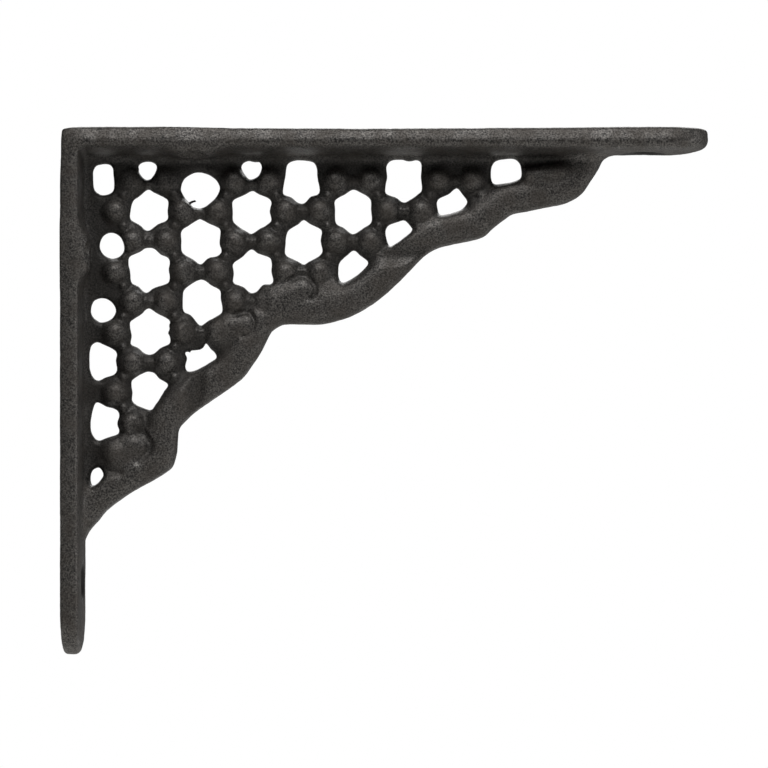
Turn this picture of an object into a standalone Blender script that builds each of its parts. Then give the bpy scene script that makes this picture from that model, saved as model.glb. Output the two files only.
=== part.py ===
"""Ornate cast iron shelf bracket with a honeycomb of balls and beads, cast in one piece.

The wall arm stands flat against the wall at x = 0 and the shelf arm runs out along +X under the shelf.
Between them an openwork web lies in the XZ plane: balls at the corners of a honeycomb, a bead halfway
along each link, and a scalloped border below. The origin is the middle of the wall face.
Lengths are in metres.
"""

import math

import bmesh
import bpy
from mathutils import Matrix, Vector

MM = 0.001

# The two arms. A thickness is measured from the flat mounting face, at the long edge and at the crown.
REACH = 165.7 * MM
DROP = 135.0 * MM
ARM_WIDTH = 22.4 * MM
SHELF_EDGE = 4.6 * MM
SHELF_CROWN = 6.3 * MM
WALL_EDGE = 4.6 * MM
WALL_CROWN = 5.3 * MM
EDGE_ROUND = 0.7 * MM
TOP = DROP / 2

# Countersunk screw holes: one on the centre line near each tip, and a pair astride the web near the corner.
SCREW_RADIUS = 2.6 * MM
TIP_HEAD_RADIUS = 5.4 * MM
PAIR_HEAD_RADIUS = 4.1 * MM
HEAD_DEPTH = 2.8 * MM
SHELF_TIP_SCREW = 149.1 * MM
WALL_TIP_SCREW = 116.1 * MM
SHELF_PAIR_SCREW = 33.9 * MM
WALL_PAIR_SCREW = 32.1 * MM
PAIR_OFFSET = 6.5 * MM
PAD_HEIGHT = 7.7 * MM
PAD_HALF_LENGTH = 5.2 * MM
PAD_FOOT = 3.4 * MM
PAD_INSIDE = 1.2 * MM
PAD_OUTSIDE = 10.9 * MM

# The honeycomb. Column 0 stands beside the wall arm, and every other column is half a row lower.
COLUMN_PITCH = 13.08 * MM
ROW_PITCH = 15.54 * MM
FIRST_COLUMN = 9.1 * MM
FIRST_ROW = 13.27 * MM
CELL_HALF_WIDTH = 5.12 * MM
CELL_SHOULDER = 2.8 * MM
CELL_HALF_HEIGHT = 5.65 * MM
CELL_WAIST = 0.28 * MM
WEB_HALF = 2.0 * MM
BALL_RADIUS = 3.6 * MM
BEAD_RADIUS = 2.37 * MM
OPEN_ROWS = {0: (3, 4, 5), 1: (0, 1, 2, 3), 2: (1, 2, 3), 3: (0, 1), 4: (0, 1), 5: (0, 1), 6: (0, 1), 7: (0,), 8: (0,)}
# Cells of the top row that run square up to the shelf arm, and cells by the border whose wall side closes in.
SQUARE_TOPS = ((4, 0), (6, 0), (8, 0))
SQUARE_HALF_WIDTH = 4.6 * MM
CLOSED_IN = {(2, 3): 1.3 * MM, (5, 1): 1.2 * MM, (6, 1): 0.3 * MM, (7, 0): 0.5 * MM, (8, 0): 1.6 * MM}

# Openings that the casting has rounded or shrunk, beside the arms and their screw pads:
# distance from the wall face, distance below the shelf face, half width, half height, corner radius in mm.
ODD_OPENINGS = (
    (10.25, 12.75, 2.65, 3.95, 2.2),
    (12.45, 29.85, 3.1, 3.3, 2.9),
    (9.95, 46.30, 3.3, 3.1, 2.9),
    (21.35, 10.25, 2.25, 2.35, 2.1),
    (35.10, 15.35, 4.95, 4.45, 4.2),
    (48.25, 10.00, 2.45, 2.35, 2.1),
)

# The solid strips beside the arms, which trim the openings, and the fillet where the web grows out of the arms.
WALL_STRIP = 6.45 * MM
SHELF_STRIP = 7.4 * MM
FILLET = 1.5 * MM
STUD_MARGIN = 2.2 * MM

# The scalloped border, from the wall arm out to the shelf arm:
# distance from the wall face, distance below the shelf face, corner radius in mm.
BORDER_CORNERS = (
    (2.9, 107.3, 0.0),
    (12.9, 96.7, 9.0),
    (28.9, 86.7, 3.4),
    (29.4, 76.4, 3.2),
    (47.7, 63.0, 7.0),
    (53.9, 50.4, 5.6),
    (68.0, 50.8, 16.0),
    (80.0, 45.0, 18.0),
    (94.9, 30.6, 8.5),
    (107.1, 28.6, 3.0),
    (114.5, 22.0, 4.0),
    (130.5, 19.0, 6.0),
    (134.5, 15.2, 8.0),
    (140.2, 3.5, 0.0),
)
# Its section, from the outer edge inwards: inset from the outer edge and half thickness, in mm.
BORDER_SECTION = ((0.0, 1.3), (1.0, 2.9), (3.6, 3.9), (6.3, 3.2), (8.1, 1.5))
LOBE_RADIUS = 4.7 * MM
LOBES = ((61.7, 41.7), (46.1, 50.5), (19.2, 80.8))

ARC_STEP = math.radians(30)
TIP_STEPS = 10
SMALLEST_ROUND = 0.3 * MM
CUT_REACH = 15 * MM
FLAT_ENOUGH = math.radians(0.01)


def clear_scene():
    """Empties the startup scene."""
    for item in list(bpy.data.objects):
        bpy.data.objects.remove(item, do_unlink=True)


def in_web(out, below):
    """The point of the XZ plane that lies this far from the wall face and this far below the shelf face."""
    return Vector((out, TOP - below))


def left_of(direction):
    """The normal on the left of a direction, where an outline keeps its material."""
    return Vector((-direction.y, direction.x))


def side_directions(corners, closed):
    """The unit directions of the sides before and after each corner."""
    count = len(corners)
    sides = [(corners[(i + 1) % count][0] - corners[i][0]).normalized() for i in range(count)]
    if not closed:
        sides[-1] = sides[-2]
    return [(sides[i - 1] if closed or i else sides[0], sides[i]) for i in range(count)]


def inset_corners(corners, inset, closed=True):
    """Corners of an outline moved inwards, where a corner is (point, radius) and its radius follows the move."""
    moved = []
    for (point, radius), (before, after) in zip(corners, side_directions(corners, closed)):
        mitre = (left_of(before) + left_of(after)) / (1 + before.dot(after))
        bulges = before.x * after.y - before.y * after.x > 0
        followed = max(radius - inset, SMALLEST_ROUND) if bulges else radius + inset
        moved.append((point + mitre * inset, followed if radius else 0.0))
    return moved


def rounded_outline(corners, closed=True):
    """The points of an outline, each corner that has a radius turned in an arc of equal steps."""
    points = []
    for (point, radius), (before, after) in zip(corners, side_directions(corners, closed)):
        if not radius:
            points.append(point.copy())
            continue
        turn = math.atan2(before.x * after.y - before.y * after.x, before.dot(after))
        start = point - before * radius * math.tan(abs(turn) / 2)
        centre = start + left_of(before) * math.copysign(radius, turn)
        steps = max(1, round(abs(turn) / ARC_STEP))
        for step in range(steps + 1):
            points.append(centre + Matrix.Rotation(turn * step / steps, 2) @ (start - centre))
    return points


def new_object(name, mesh_data, helper=True):
    """Links a mesh to the scene. A helper only feeds the casting's Booleans, so it isn't rendered."""
    mesh = bpy.data.meshes.new(name)
    sides = [face for face in mesh_data.faces if len(face.verts) == 4]
    bmesh.ops.connect_verts_nonplanar(mesh_data, angle_limit=FLAT_ENOUGH, faces=sides)
    bmesh.ops.recalc_face_normals(mesh_data, faces=mesh_data.faces)
    mesh_data.to_mesh(mesh)
    mesh_data.free()
    made = bpy.data.objects.new(name, mesh)
    bpy.context.scene.collection.objects.link(made)
    made.hide_render = helper
    if helper:
        made.display_type = "WIRE"
    return made


def add_loft(mesh_data, rings, smooth=False):
    """Skins a stack of closed rings with quads and caps both ends."""
    loops = [[mesh_data.verts.new(point) for point in ring] for ring in rings]
    count = len(loops[0])
    for low, high in zip(loops, loops[1:]):
        for i in range(count):
            j = (i + 1) % count
            mesh_data.faces.new((low[i], low[j], high[j], high[i])).smooth = smooth
    mesh_data.faces.new(list(reversed(loops[0]))).smooth = smooth
    mesh_data.faces.new(loops[-1]).smooth = smooth


def across(outline, depth):
    """An outline of the XZ plane carried to this Y."""
    return [Vector((point.x, depth, point.y)) for point in outline]


def add_prism(mesh_data, outline, half_depth):
    """A slab with this outline in the XZ plane, as deep to the front as to the back."""
    add_loft(mesh_data, [across(outline, -half_depth), across(outline, half_depth)])


def ring_of(count, make):
    """One ring of points, made from the cosine and sine of equal turns."""
    turns = [2 * math.pi * i / count for i in range(count)]
    return [make(math.cos(turn), math.sin(turn)) for turn in turns]


def cell_centre(column, row):
    """The middle of a honeycomb cell in the XZ plane."""
    return in_web(FIRST_COLUMN + column * COLUMN_PITCH, FIRST_ROW + (row + 0.5 * (column % 2)) * ROW_PITCH)


def cell_outline(column, row):
    """One opening: six corners that point at the beads, with waisted sides, trimmed by the arms' strips."""
    centre = cell_centre(column, row)
    left = max(centre.x - CELL_HALF_WIDTH + CLOSED_IN.get((column, row), 0), WALL_STRIP)
    top = TOP - SHELF_STRIP
    corners = [
        Vector((0, CELL_HALF_HEIGHT)),
        Vector((-CELL_HALF_WIDTH, CELL_SHOULDER)),
        Vector((-CELL_HALF_WIDTH, -CELL_SHOULDER)),
        Vector((0, -CELL_HALF_HEIGHT)),
        Vector((CELL_HALF_WIDTH, -CELL_SHOULDER)),
        Vector((CELL_HALF_WIDTH, CELL_SHOULDER)),
    ]
    points = []
    for corner, following in zip(corners, corners[1:] + corners[:1]):
        middle = (corner + following) / 2
        points += [corner, middle - middle.normalized() * CELL_WAIST]
    points = [centre + point for point in points]
    if (column, row) in SQUARE_TOPS:
        reach = SQUARE_HALF_WIDTH
        square = [Vector((centre.x + reach, top - 1.6 * MM)), Vector((centre.x + 0.75 * reach, top))]
        square += [Vector((2 * centre.x - p.x, p.y)) for p in reversed(square)]
        points = square + points[3:10]
    return [Vector((max(p.x, left), min(p.y, top))) for p in points]


def distinct(outline):
    """An outline without the points that fall on the one before."""
    return [p for p, previous in zip(outline, outline[-1:] + outline[:-1]) if (p - previous).length > 0.05 * MM]


def border_rail(inset):
    """A curve that runs along the border at this inset, from the core of one arm to the core of the other."""
    corners = [(in_web(out * MM, below * MM), radius * MM) for out, below, radius in BORDER_CORNERS]
    rail = rounded_outline(inset_corners(corners, inset, closed=False), closed=False)
    first = (rail[1] - rail[0]).normalized()
    last = (rail[-1] - rail[-2]).normalized()
    rail[0] += first * (WALL_CROWN / 2 - rail[0].x) / first.x
    rail[-1] += last * (TOP - SHELF_CROWN / 2 - rail[-1].y) / last.y
    return rail


def field_outline(inset):
    """The part of the web that lies inside the border by this much, closed through both arms."""
    return border_rail(inset) + [in_web(WALL_CROWN / 2, SHELF_CROWN / 2)]


def inside(outline, point):
    """True if the point lies within the outline."""
    crossings = 0
    for a, b in zip(outline, outline[1:] + outline[:1]):
        if (a.y > point.y) != (b.y > point.y):
            crossings += point.x < a.x + (point.y - a.y) * (b.x - a.x) / (b.y - a.y)
    return crossings % 2 == 1


def web_plate():
    """The solid plate that the honeycomb is pierced through."""
    data = bmesh.new()
    add_prism(data, field_outline(BORDER_SECTION[2][0] * MM), WEB_HALF)
    return new_object("bracket_casting", data, helper=False)


def cell_cutter():
    """The openings of the honeycomb."""
    data = bmesh.new()
    for column, rows in OPEN_ROWS.items():
        for row in rows:
            add_prism(data, distinct(cell_outline(column, row)), CUT_REACH)
    return new_object("cell_cutter", data)


def odd_cutter():
    """The openings that depart from the honeycomb."""
    data = bmesh.new()
    for out, below, half_width, half_height, radius in ODD_OPENINGS:
        centre = in_web(out * MM, below * MM)
        signs = ((1, 1), (-1, 1), (-1, -1), (1, -1))
        corners = [(centre + Vector((s * half_width, t * half_height)) * MM, radius * MM) for s, t in signs]
        add_prism(data, rounded_outline(corners), CUT_REACH)
    return new_object("odd_cutter", data)


def stud_places(steps):
    """Points at these steps, in column and row pitches, round every cell whose stud shows in the open field."""
    field = field_outline(BORDER_SECTION[3][0] * MM)
    found = {}
    for column in range(-1, 10):
        for row in range(-1, 7):
            for along, up in steps:
                point = cell_centre(column, row) + Vector((along * COLUMN_PITCH, up * ROW_PITCH))
                clear = point.x > WALL_STRIP + STUD_MARGIN and point.y < TOP - SHELF_STRIP - STUD_MARGIN
                if clear and inside(field, point):
                    found[round(point.x / MM, 1), round(point.y / MM, 1)] = point
    return list(found.values())


def studs(name, centres, radius, foot, angles, segments):
    """Round studs through the web, domed front and back, with their straight shank hidden inside it."""
    data = bmesh.new()
    climb = [math.asin(foot / radius)] + [math.radians(angle) for angle in angles]
    levels = [(radius * math.cos(a), radius * math.sin(a)) for a in climb]
    levels = [(reach, -height) for reach, height in reversed(levels)] + levels
    for centre in centres:
        rings = [
            ring_of(segments, lambda c, s: Vector((centre.x + reach * c, height, centre.y + reach * s)))
            for reach, height in levels
        ]
        add_loft(data, rings, smooth=True)
    return new_object(name, data)


def balls():
    """A ball at each corner of the honeycomb."""
    steps = [(side * 2 / 3, 0) for side in (-1, 1)] + [(s / 3, t / 2) for s in (-1, 1) for t in (-1, 1)]
    return studs("balls", stud_places(steps), BALL_RADIUS, 0.85 * WEB_HALF, (50, 74), 8)


def beads():
    """A bead halfway along each link between two balls."""
    steps = [(0, side / 2) for side in (-1, 1)] + [(s / 2, t / 4) for s in (-1, 1) for t in (-1, 1)]
    return studs("beads", stud_places(steps), BEAD_RADIUS, 0.8 * WEB_HALF, (70,), 5)


def border():
    """The scalloped border: its section carried along the outer edge and each inset of it."""
    data = bmesh.new()
    section = [(inset, -half) for inset, half in BORDER_SECTION]
    section += [(inset, half) for inset, half in reversed(BORDER_SECTION)]
    rails = [across(border_rail(inset * MM), depth * MM) for inset, depth in section]
    add_loft(data, [list(ring) for ring in zip(*rails)], smooth=True)
    return new_object("border", data)


def lobes():
    """The round lobes that the border curls into above its cusps."""
    centres = [in_web(out * MM, below * MM) for out, below in LOBES]
    return studs("lobes", centres, LOBE_RADIUS, 0.85 * WEB_HALF, (46, 70), 10)


def angle_outline(reach, drop, shelf, wall, inset=0.0):
    """An L with its outer corner at the top of the wall, of this reach, drop and two thicknesses, ends chamfered."""
    cut = EDGE_ROUND
    return [
        in_web(inset, inset),
        in_web(inset, drop - cut),
        in_web(inset + cut, drop),
        in_web(wall - cut, drop),
        in_web(wall, drop - cut),
        in_web(wall, shelf),
        in_web(reach - cut, shelf),
        in_web(reach, shelf - cut),
        in_web(reach, inset + cut),
        in_web(reach - cut, inset),
    ]


def arms():
    """Both arms as one angle bar: flat outside, crowned inside, each end half round in plan."""
    half = ARM_WIDTH / 2
    rings = []
    for step in range(TIP_STEPS + 1):
        turn = math.pi * (step / TIP_STEPS - 0.5)
        depth = half * math.sin(turn)
        short = half - half * math.cos(turn)
        crown = 1 - (depth / half) ** 2
        rings.append(
            across(
                angle_outline(
                    REACH - short,
                    DROP - short,
                    SHELF_EDGE + (SHELF_CROWN - SHELF_EDGE) * crown,
                    WALL_EDGE + (WALL_CROWN - WALL_EDGE) * crown,
                ),
                depth,
            )
        )
    ease = EDGE_ROUND
    side = angle_outline(REACH - half - ease, DROP - half - ease, SHELF_EDGE - ease, WALL_EDGE - ease, ease)
    rings = [across(side, -half)] + rings[1:-1] + [across(side, half)]
    data = bmesh.new()
    add_loft(data, rings)
    return new_object("arms", data)


def fillet():
    """The swelling where the web grows out of the arms, on both faces of the web."""
    data = bmesh.new()
    rings = []
    for depth, rise in ((-WEB_HALF - FILLET, 0.3 * FILLET), (-0.9 * WEB_HALF, 1.2 * FILLET)):
        outline = [
            in_web(0.3 * WALL_CROWN, 0.3 * SHELF_CROWN),
            in_web(0.3 * WALL_CROWN, 98 * MM),
            in_web(WALL_CROWN + rise, 94 * MM),
            in_web(WALL_CROWN + rise, SHELF_CROWN + rise),
            in_web(128 * MM, SHELF_CROWN + rise),
            in_web(133 * MM, 0.3 * SHELF_CROWN),
        ]
        rings.append((depth, outline))
    rings += [(-depth, outline) for depth, outline in reversed(rings)]
    add_loft(data, [across(outline, depth) for depth, outline in rings])
    return new_object("fillet", data)


def shelf_place():
    """Carries a piece drawn on its back along +X to the underside of the shelf."""
    return Matrix.Translation((0, 0, TOP)) @ Matrix.Rotation(math.pi, 4, "X")


def wall_place():
    """Carries a piece drawn on its back along +X to the wall, running down from the shelf face."""
    return Matrix.Translation((0, 0, TOP)) @ Matrix.Rotation(math.radians(90), 4, "Y")


def pads(name, along, place):
    """The two pads that thicken an arm round its pair of screws."""
    data = bmesh.new()
    middle = (PAD_INSIDE + PAD_OUTSIDE) / 2
    half_width = (PAD_OUTSIDE - PAD_INSIDE) / 2
    for side in (-1, 1):
        rings = []
        for half_length, spread, height in (
            (PAD_HALF_LENGTH + PAD_FOOT, 1.0, 0.4 * PAD_HEIGHT),
            (PAD_HALF_LENGTH + 0.4 * PAD_FOOT, 1.0, 0.9 * PAD_HEIGHT),
            (PAD_HALF_LENGTH, 0.94, PAD_HEIGHT),
        ):
            rings.append(
                ring_of(
                    12,
                    lambda c, s: place
                    @ Vector((along + half_length * c, side * middle + half_width * spread * s, height)),
                )
            )
        add_loft(data, rings)
    return new_object(name, data)


def screw_cutter(name, place, tip, pair, crown):
    """The countersunk screw holes of one arm, sunk in its inner face and through to its mounting face."""
    data = bmesh.new()
    seats = [(tip, 0.0, TIP_HEAD_RADIUS, crown)]
    seats += [(pair, side * PAIR_OFFSET, PAIR_HEAD_RADIUS, PAD_HEIGHT) for side in (-1, 1)]
    for along, offset, head, surface in seats:
        levels = (
            (SCREW_RADIUS, -3 * MM),
            (SCREW_RADIUS, surface - HEAD_DEPTH),
            (head, surface + 0.2 * MM),
            (head, surface + 3 * MM),
        )
        rings = [
            ring_of(12, lambda c, s: place @ Vector((along + radius * c, offset + radius * s, height)))
            for radius, height in levels
        ]
        add_loft(data, rings, smooth=True)
    return new_object(name, data)


def combine(target, operation, other):
    """Adds one Boolean step to the casting."""
    step = target.modifiers.new(other.name, "BOOLEAN")
    step.operation = operation
    step.object = other
    step.solver = "EXACT"


def iron():
    """Sand-cast iron under a thin dark finish."""
    material = bpy.data.materials.new("cast_iron")
    material.use_nodes = True
    shader = material.node_tree.nodes["Principled BSDF"]
    shader.inputs["Base Color"].default_value = (0.032, 0.030, 0.029, 1.0)
    shader.inputs["Roughness"].default_value = 0.62
    shader.inputs["Metallic"].default_value = 0.6
    return material


def main():
    """Builds the bracket."""
    clear_scene()
    casting = web_plate()
    combine(casting, "UNION", fillet())
    combine(casting, "DIFFERENCE", cell_cutter())
    combine(casting, "DIFFERENCE", odd_cutter())
    combine(casting, "UNION", balls())
    combine(casting, "UNION", beads())
    combine(casting, "UNION", border())
    combine(casting, "UNION", lobes())
    combine(casting, "UNION", arms())
    combine(casting, "UNION", pads("shelf_pads", SHELF_PAIR_SCREW, shelf_place()))
    combine(casting, "UNION", pads("wall_pads", WALL_PAIR_SCREW, wall_place()))
    shelf_holes = screw_cutter("shelf_screws", shelf_place(), SHELF_TIP_SCREW, SHELF_PAIR_SCREW, SHELF_CROWN)
    wall_holes = screw_cutter("wall_screws", wall_place(), WALL_TIP_SCREW, WALL_PAIR_SCREW, WALL_CROWN)
    combine(casting, "DIFFERENCE", shelf_holes)
    combine(casting, "DIFFERENCE", wall_holes)
    casting.data.materials.append(iron())


main()
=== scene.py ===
"""Looks of an ornate cast iron shelf bracket: one sand casting with a honeycomb web and a scalloped border.

The casting is worked out as a distance field in millimetres, so that balls, links, border and arms run
into each other as poured iron does, and a skin is then drawn over the field. A place in the web is given
by its distance out from the wall face and its distance below the shelf face.
"""

from __future__ import annotations

import logging
import math
from dataclasses import dataclass, field
from enum import Enum
from typing import Sequence

import bpy
import numpy as np
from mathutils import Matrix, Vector, noise


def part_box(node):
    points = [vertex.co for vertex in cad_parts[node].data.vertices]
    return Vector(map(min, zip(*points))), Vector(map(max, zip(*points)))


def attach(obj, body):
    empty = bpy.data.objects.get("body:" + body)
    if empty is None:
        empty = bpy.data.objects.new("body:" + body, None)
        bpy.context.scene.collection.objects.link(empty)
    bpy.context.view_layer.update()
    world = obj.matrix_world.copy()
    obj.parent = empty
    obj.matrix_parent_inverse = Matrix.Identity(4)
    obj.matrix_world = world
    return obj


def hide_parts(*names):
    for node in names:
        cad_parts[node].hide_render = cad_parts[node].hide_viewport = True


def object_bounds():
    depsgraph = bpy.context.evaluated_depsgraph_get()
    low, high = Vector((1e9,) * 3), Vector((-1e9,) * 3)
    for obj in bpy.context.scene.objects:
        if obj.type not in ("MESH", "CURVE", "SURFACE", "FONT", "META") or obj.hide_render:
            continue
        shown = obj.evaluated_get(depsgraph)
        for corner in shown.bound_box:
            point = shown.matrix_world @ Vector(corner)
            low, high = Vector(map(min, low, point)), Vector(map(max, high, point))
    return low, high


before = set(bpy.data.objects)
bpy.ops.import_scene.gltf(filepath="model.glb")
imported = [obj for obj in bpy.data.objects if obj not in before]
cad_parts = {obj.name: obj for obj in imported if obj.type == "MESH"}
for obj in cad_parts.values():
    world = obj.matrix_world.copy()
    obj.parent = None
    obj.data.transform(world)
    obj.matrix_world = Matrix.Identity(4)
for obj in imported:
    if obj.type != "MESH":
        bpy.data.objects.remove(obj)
CAD_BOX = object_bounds()
NODE = "bracket_casting"
MM = 0.001
FAR = 1e3
WHITE = (1.0, 1.0, 1.0, 1.0)
Point = tuple[float, float]
Span = tuple[float, float]
Outline = Sequence[Point]
Array = np.ndarray
Socket = bpy.types.NodeSocket
log = logging.getLogger("bracket")


# Distance fields


def smooth_union(a: Array, b: Array, blend: float) -> Array:
    """Joins two bodies, with a hollow fillet where they meet.

    Args:
        a: Distance to the first body, negative inside it.
        b: Distance to the second body.
        blend: Width of the fillet in millimetres.

    Returns:
        Distance to the joined body.
    """
    near = np.maximum(blend - np.abs(a - b), 0.0) / blend
    return np.minimum(a, b) - near * near * blend / 4


def smooth_common(a: Array, b: Array, blend: float) -> Array:
    """Keeps what two bodies share, with the edge between them rounded over.

    Args:
        a: Distance to the first body, negative inside it.
        b: Distance to the second body.
        blend: Width of the rounding in millimetres.

    Returns:
        Distance to the shared body.
    """
    return -smooth_union(-a, -b, blend)


def segment_distance(start: Point, end: Point, u: Array, v: Array) -> Array:
    """Distance in a plane to a straight segment.

    Args:
        start: First end of the segment.
        end: Second end of the segment.
        u: First coordinate of the sampled places.
        v: Second coordinate of the sampled places.

    Returns:
        The distance at each place.
    """
    du = end[0] - start[0]
    dv = end[1] - start[1]
    along = ((u - start[0]) * du + (v - start[1]) * dv) / max(du * du + dv * dv, 1e-12)
    along = np.clip(along, 0.0, 1.0)
    return np.hypot(u - start[0] - along * du, v - start[1] - along * dv)


def line_distance(line: Outline, u: Array, v: Array) -> Array:
    """Distance in a plane to a line of many segments.

    Args:
        line: Its points in order.
        u: First coordinate of the sampled places.
        v: Second coordinate of the sampled places.

    Returns:
        The distance at each place.
    """
    nearest = np.full(np.broadcast(u, v).shape, np.inf)
    for start, end in zip(line, line[1:]):
        nearest = np.minimum(nearest, segment_distance(start, end, u, v))
    return nearest


def is_within(outline: Outline, u: Array, v: Array) -> Array:
    """Tells which places lie inside a closed outline.

    Args:
        outline: Corners of the outline.
        u: First coordinate of the sampled places.
        v: Second coordinate of the sampled places.

    Returns:
        True at each place inside.
    """
    found = np.zeros(np.broadcast(u, v).shape, bool)
    for (au, av), (bu, bv) in zip(outline, list(outline[1:]) + [outline[0]]):
        if av == bv:
            continue
        crosses = (av > v) != (bv > v)
        found ^= crosses & (u < au + (v - av) * (bu - au) / (bv - av))
    return found


def smooth_line(points: Outline, closed: bool, steps: int = 4) -> list[Point]:
    """Runs a smooth curve through points, level at each with the chord of its neighbours.

    Args:
        points: The points that the curve passes.
        closed: Whether it comes back to its first point.
        steps: Straight pieces for each stretch between two points.

    Returns:
        Points along the curve; those of a closed one end before the first comes again.
    """
    places = np.array(points, float)
    before = np.roll(places, 1, axis=0)
    after = np.roll(places, -1, axis=0)
    if not closed:
        before[0] = places[0]
        after[-1] = places[-1]
    reach = np.linalg.norm(places - before, axis=1) + np.linalg.norm(after - places, axis=1)
    heading = (after - before) / reach[:, None]
    found: list[Point] = []
    for i in range(len(places) if closed else len(places) - 1):
        j = (i + 1) % len(places)
        length = np.linalg.norm(places[j] - places[i])
        for t in np.arange(steps) / steps:
            place = (1 + 2 * t) * (1 - t) ** 2 * places[i] + t * t * (3 - 2 * t) * places[j]
            place = place + t * (1 - t) * length * ((1 - t) * heading[i] - t * heading[j])
            found.append((float(place[0]), float(place[1])))
    if not closed:
        found.append(tuple(points[-1]))
    return found


@dataclass(frozen=True)
class Block:
    """The block of sampled places round the casting, in millimetres.

    The three directions are out from the wall, across the arms and down from the shelf.
    """

    low: tuple[float, float, float]
    high: tuple[float, float, float]
    step: float

    def axis(self, index: int) -> Array:
        """The sampled coordinates along one direction."""
        count = int(math.ceil((self.high[index] - self.low[index]) / self.step)) + 1
        return self.low[index] + self.step * np.arange(count)

    @property
    def out(self) -> Array:
        """Distance out from the wall, shaped for the whole block."""
        return self.axis(0)[:, None, None]

    @property
    def across(self) -> Array:
        """Distance across the arms, shaped for the whole block."""
        return self.axis(1)[None, :, None]

    @property
    def below(self) -> Array:
        """Distance below the shelf, shaped for the whole block."""
        return self.axis(2)[None, None, :]

    def window(self, middle: Sequence[float | None], reach: float) -> tuple[slice, slice, slice]:
        """The part of the block near a place.

        Args:
            middle: The place, with None for a direction that isn't limited.
            reach: How far the window goes to each side, in millimetres.

        Returns:
            One slice for each direction.
        """
        cuts = []
        for index, centre in enumerate(middle):
            if centre is None:
                cuts.append(slice(None))
                continue
            count = len(self.axis(index))
            first = int(math.floor((centre - reach - self.low[index]) / self.step))
            last = int(math.ceil((centre + reach - self.low[index]) / self.step)) + 1
            cuts.append(slice(min(max(first, 0), count), min(max(last, 0), count)))
        return tuple(cuts)


# The web

# The outlines of openings and border were read on the photograph along the dark side of each edge.
# There the iron looks a little thinner than it is, and a little up and to the wall.
READING_SHIFT: Point = (0.155, 0.10)
READING_GROWTH = 0.2
# How far from its middle an opening can reach, with some iron round it.
OPENING_REACH = 11.0

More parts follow.
